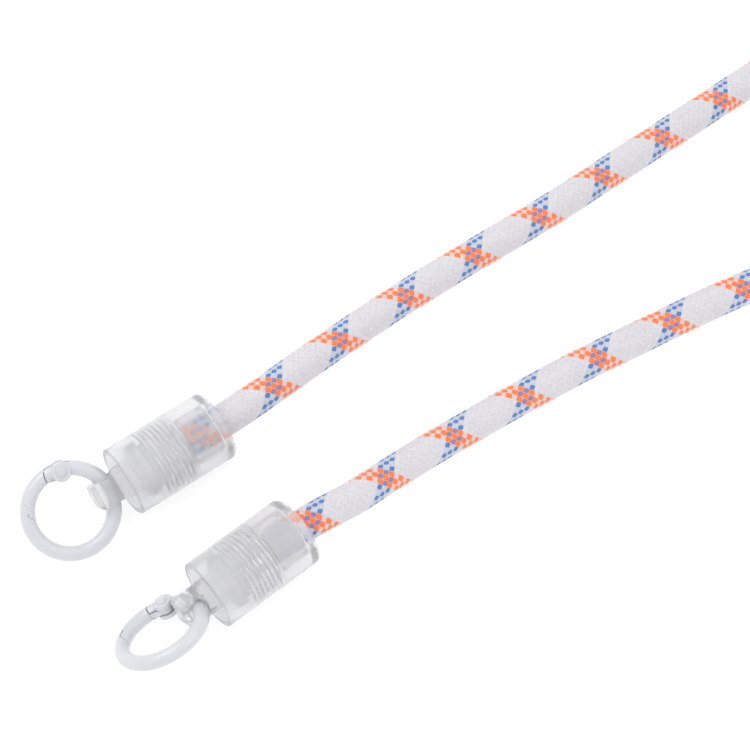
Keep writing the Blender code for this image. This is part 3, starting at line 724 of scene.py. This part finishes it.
def rounded_block(half, power, rows, columns):
    """Superellipsoid: half sizes times signed powers of (cos u cos v, cos u sin v, sin u)."""
    def signed(values):
        return np.sign(values) * np.abs(values) ** power
    u = np.linspace(-np.pi / 2 + 0.02, np.pi / 2 - 0.02, rows)[:, None]
    v = np.linspace(0, 2 * np.pi, columns, endpoint=False)[None, :] + 0.01
    return np.stack([half[0] * signed(np.cos(u)) * signed(np.cos(v)),
                     half[1] * signed(np.cos(u)) * signed(np.sin(v)),
                     half[2] * signed(np.sin(u)) * np.ones_like(v)], -1)


class STRAP_OT_plugs(bpy.types.Operator):
    """Make the clear screw plugs with their cross-drilled lugs"""
    bl_idname = "strap.plugs"
    bl_label = "Screw Plugs"

    def execute(self, context):
        """A turned body with a helical thread, a rounded block joined to it, and a flared hole cut across."""
        colours = context.scene.strap_colours
        thread_end = THREAD_X0 + THREAD_TURNS * THREAD_PITCH - 0.4
        tip = [(PLUG_TIP_X, 0.3), (PLUG_TIP_X, 5.3), (PLUG_TIP_X - 0.15, 5.6), (thread_end, PLUG_ROOT_R)]
        threaded = line((thread_end - 0.05, PLUG_ROOT_R), (THREAD_X0, PLUG_ROOT_R), THREAD_TURNS * 12)
        head = np.vstack([[(SEAT_X - 0.1, PLUG_ROOT_R), (SEAT_X - 0.3, PLUG_ROOT_R + 0.1)],
                          arc((SEAT_X - 0.6, PLUG_HEAD_R - 0.3), 0.3, 0, 90, 3),
                          arc((PLUG_HEAD_X + 0.4, PLUG_HEAD_R - 0.4), 0.4, 90, 180, 4),
                          arc((PLUG_HEAD_X - 0.8, NECK_R + 0.8), 0.8, 0, -90, 5)])
        neck = np.vstack([line((PLUG_HEAD_X - 1.2, NECK_R), (NECK_END_X + 0.7, NECK_R), 3),
                          arc((NECK_END_X + 0.6, NECK_R - 0.6), 0.6, 90, 180, 4), [(NECK_END_X, 0.3)]])
        turned = revolve_threaded(np.vstack([tip, threaded, head, neck]), len(tip), len(threaded), 96)
        block_end_x = 2.2
        block = rounded_block(((block_end_x - LUG_END_X) / 2, LUG_WIDTH / 2, LUG_THICK / 2), 0.3, 40, 64)
        block = block + np.array([(LUG_END_X + block_end_x) / 2, 0, 0])
        h = LUG_THICK / 2
        bore = [(-7, EYE_R + 3.2), (-h - 0.1, EYE_R + 0.55), (-h + 0.45, EYE_R), (h - 0.45, EYE_R),
                (h + 0.1, EYE_R + 0.55), (7, EYE_R + 3.2)]
        hole = about_z(revolve(bore, 64)) + np.array([EYE_X, 0, 0])
        hole[..., 2] = np.clip(hole[..., 2], -h - 1.2, h + 1.2)
        acrylic = material_of("polished_acrylic", polished_acrylic, colours)
        for end in "ab":
            body = grid_mesh("plug_body", moved(turned, fitting_frame(end)))
            lug = grid_mesh("plug_lug", moved(block, lug_frame(end)))
            eye = grid_mesh("plug_eye", moved(hole, lug_frame(end)))
            mesh = carve("screw_plug_" + end, body, [("UNION", lug), ("DIFFERENCE", eye)], 32)
            piece("screw_plug_" + end, mesh, acrylic, "strap", ("plug_" + end,))
        return {"FINISHED"}


def torus(wire_radius):
    """Ring wire: radius (R + w cos q) at angle p, height w sin q."""
    p = np.linspace(0, 2 * np.pi, 160, endpoint=False)[:, None]
    q = np.linspace(0, 2 * np.pi, 40, endpoint=False)[None, :]
    radius = RING_R + wire_radius * np.cos(q)
    return np.stack([radius * np.cos(p), radius * np.sin(p), wire_radius * np.sin(q) * np.ones_like(p)], -1)


def prism(outline, half):
    """Outline (x, y) carried from -half to half along z."""
    outline = np.asarray(outline, float)
    rows = [np.column_stack([outline, np.full(len(outline), z)]) for z in (-half, half)]
    return np.stack(rows)


def pin(radius, half, columns=32):
    """Cylinder about z through the rivet's place."""
    return about_z(revolve([(-half, radius), (half, radius)], columns)) + np.array([RIVET_RING_R, 0, 0])


def rivet_arc(around, start_radius, end_radius, steps):
    """Arc about the rivet, between two distances from the ring's centre, on the gate's side."""
    radius = np.array([start_radius, end_radius])
    x = (radius ** 2 - around ** 2 + RIVET_RING_R ** 2) / (2 * RIVET_RING_R)
    angle = np.degrees(np.arctan2(np.sqrt(radius ** 2 - x ** 2), x - RIVET_RING_R))
    return arc((RIVET_RING_R, 0), around, angle[0], angle[1], steps)


def gate_outline(shoulder, gap, step):
    """Outline of the gate's stretch of ring: an arc about the rivet at each end, the far one stepped."""
    beyond = 3.2
    outside, inside = RING_R + beyond, RING_R - beyond
    near = rivet_arc(shoulder, inside, outside, 12)
    far = np.vstack([rivet_arc(LATCH_OUTER_R + gap, outside, step, 6),
                     rivet_arc(LATCH_INNER_R + gap, step, inside, 6)])
    angle = [math.degrees(math.atan2(p[1], p[0])) for p in (near[-1], far[0], far[-1], near[0])]
    return np.vstack([near, arc((0, 0), outside, angle[0], angle[1], 16)[1:-1], far,
                      arc((0, 0), inside, angle[2], angle[3], 16)[1:-1]])


class STRAP_OT_rings(bpy.types.Operator):
    """Make the ring bodies and their gates"""
    bl_idname = "strap.rings"
    bl_label = "Spring-gate Rings"

    def execute(self, context):
        """A torus joined to a round boss, cut by the gate's outline, the tongue's slot and two holes.

        The gate is the stretch that the outline cuts away, joined to a tongue that turns on the rivet.
        """
        sizes, colours = context.scene.strap_sizes, context.scene.strap_colours
        enamel = material_of("stove_enamel", stove_enamel, colours)
        wire = sizes.wire_diameter / 2 / MM
        for end in "ab":
            place = ring_frame(end)

            def tool(points, closed=False):
                return grid_mesh("tool", moved(points, place), close_along=closed)

            boss_profile = np.vstack([[(-BOSS_HALF, 0.3)],
                                      arc((-BOSS_HALF + 0.3, BOSS_R - 0.3), 0.3, 180, 90, 4),
                                      arc((BOSS_HALF - 0.3, BOSS_R - 0.3), 0.3, 90, 0, 4),
                                      [(BOSS_HALF, 0.3)]])
            boss = about_z(revolve(boss_profile, 56)) + np.array([RIVET_RING_R, 0, 0])
            space = prism(gate_outline(CHEEK_END_R, LATCH_GAP, RING_R + 0.15), 4.0)
            x = RIVET_RING_R
            saw = prism([(x - 4, SLOT_FLOOR), (x + 4, SLOT_FLOOR), (x + 4, 6.5), (x - 4, 6.5)], SLOT_HALF)
            bore = revolve([(-6.6, SPRING_BORE_R), (-1.0, SPRING_BORE_R)], 24)
            bore = bore[..., [1, 0, 2]] + np.array([SPRING_AXIS_X, 0, 0])
            mesh = carve("ring_body_" + end, tool(torus(wire), True),
                         [("UNION", tool(boss)), ("DIFFERENCE", tool(space)), ("DIFFERENCE", tool(saw)),
                          ("DIFFERENCE", tool(pin(RIVET_HOLE_R, 4.0))), ("DIFFERENCE", tool(bore))])
            piece("ring_body_" + end, mesh, enamel, "ring_clip_" + end, ("ring_" + end,))

            stretch = prism(gate_outline(SHOULDER_R, 0.0, RING_R - 0.15), 4.0)
            reach = math.radians(28)
            tips = [((RING_R + d) * math.cos(reach), (RING_R + d) * math.sin(reach)) for d in (1.5, -1.5)]
            tongue = prism(np.vstack([tips, arc((x, 0), TONGUE_EYE_R, 160, 370, 24)]), TONGUE_HALF)
            mesh = carve("gate_arm_" + end, tool(torus(wire), True),
                         [("INTERSECT", tool(stretch)), ("UNION", tool(tongue)),
                          ("DIFFERENCE", tool(pin(RIVET_HOLE_R, 3.0)))])
            piece("gate_arm_piece_" + end, mesh, enamel, "gate_arm_" + end, ("gate_" + end,))
        return {"FINISHED"}


class STRAP_OT_rivets(bpy.types.Operator):
    """Make the gate rivets and the springs behind the tongues"""
    bl_idname = "strap.rivets"
    bl_label = "Rivets and Springs"

    def execute(self, context):
        """A rivet is a pin with a domed head on each cheek; a spring is a tube along a helix."""
        colours = context.scene.strap_colours
        paint = material_of("painted_rivet", stove_enamel, colours, "painted_rivet", 0.26, 0.06)
        steel = material_of("bright_spring_wire", bright_spring_wire)
        low, top = 2.24, 2.68
        dome = arc((0, 0), 1, 0, 86, 8) * np.array([RIVET_HEAD_R, top - low])
        head = np.column_stack([low + dome[:, 1], dome[:, 0]])
        profile = np.vstack([(head * (-1, 1))[::-1], [(-low, RIVET_R), (low, RIVET_R)], head])
        for end in "ab":
            place = ring_frame(end)
            points = about_z(revolve(profile, 48)) + np.array([RIVET_RING_R, 0, 0])
            mesh = grid_mesh("gate_rivet_piece_" + end, moved(points, place))
            piece("gate_rivet_piece_" + end, mesh, paint, "ring_clip_" + end,
                  ("gate_rivet_" + end,))
            t = np.linspace(0, 1, SPRING_TURNS * 24 + 1)
            angle = 2 * np.pi * SPRING_TURNS * t
            start, stop = SPRING_Y
            y = start + SPRING_WIRE_R + (stop - start - 2 * SPRING_WIRE_R) * t
            coil = np.stack([SPRING_AXIS_X + SPRING_R * np.cos(angle), y, SPRING_R * np.sin(angle)], -1)
            points = moved(sweep(coil, SPRING_WIRE_R, 10, np.array([0, 1.0, 0])), place)
            mesh = grid_mesh("gate_spring_piece_" + end, points)
            piece("gate_spring_piece_" + end, mesh, steel, "ring_clip_" + end,
                  ("gate_spring_" + end,))
        return {"FINISHED"}


class STRAP_OT_stage(bpy.types.Operator):
    """Set the pale floor, the soft lights and the camera"""
    bl_idname = "strap.stage"
    bl_label = "Stage, Lights and Camera"

    def execute(self, context):
        scene = context.scene
        floor_mesh = bpy.data.meshes.new("floor")
        half, level = 3.0, -0.0003
        floor_mesh.from_pydata([(-half, -half, level), (half, -half, level), (half, half, level),
                                (-half, half, level)], [], [(0, 1, 2, 3)])
        floor = bpy.data.objects.new("floor", floor_mesh)
        scene.collection.objects.link(floor)
        floor_mesh.materials.append(matt_white_paper())
        world = bpy.data.worlds.new("soft_studio")
        world.use_nodes = True
        fill_node(world.node_tree, world.node_tree.nodes["Background"], (*linear("#FFFFFF"), 1), 0.92)
        scene.world = world
        aim = Vector(CAMERA_AIM * MM)
        for name, offset, size, power in (("key", (-0.35, 0.45, 0.95), 0.7, 2.9),
                                          ("fill", (0.6, -0.5, 0.9), 0.9, 1.7)):
            light = bpy.data.lights.new(name, "AREA")
            light.size, light.energy = size, power
            lamp = bpy.data.objects.new(name, light)
            scene.collection.objects.link(lamp)
            lamp.location = aim + Vector(offset)
            lamp.rotation_euler = (-Vector(offset)).to_track_quat("-Z", "Y").to_euler()
        camera = bpy.data.cameras.new("camera")
        camera.lens, camera.sensor_width, camera.clip_start, camera.clip_end = CAMERA_LENS, 36.0, 0.01, 20.0
        holder = bpy.data.objects.new("camera", camera)
        scene.collection.objects.link(holder)
        holder.location = Vector(CAMERA_AT * MM)
        holder.rotation_euler = (aim - holder.location).to_track_quat("-Z", "Y").to_euler()
        scene.camera = holder
        scene.view_settings.view_transform = "Standard"
        return {"FINISHED"}


class STRAP_PT_panel(bpy.types.Panel):
    """Lists the strap's sizes, colours and pieces"""
    bl_idname = "STRAP_PT_panel"
    bl_label = "Rope Strap"
    bl_space_type = "VIEW_3D"
    bl_region_type = "UI"
    bl_category = "Strap"

    def draw(self, context):
        for group in (context.scene.strap_sizes, context.scene.strap_colours):
            box = self.layout.box()
            for name in group.__annotations__:
                box.prop(group, name)
        for operator in PIECES:
            self.layout.operator(operator.bl_idname)


PIECES = (STRAP_OT_stage, STRAP_OT_tie, STRAP_OT_rope_ends, STRAP_OT_rope, STRAP_OT_barrels, STRAP_OT_plugs,
          STRAP_OT_rings, STRAP_OT_rivets)
CLASSES = (StrapSizes, StrapColours) + PIECES + (STRAP_PT_panel,)


def register():
    for kind in CLASSES:
        bpy.utils.register_class(kind)
    bpy.types.Scene.strap_sizes = PointerProperty(type=StrapSizes)
    bpy.types.Scene.strap_colours = PointerProperty(type=StrapColours)


def unregister():
    del bpy.types.Scene.strap_colours
    del bpy.types.Scene.strap_sizes
    for kind in reversed(CLASSES):
        bpy.utils.unregister_class(kind)


def main():
    register()
    for operator in PIECES:
        group, name = operator.bl_idname.split(".")
        getattr(getattr(bpy.ops, group), name)()


if __name__ == "__main__":
    main()
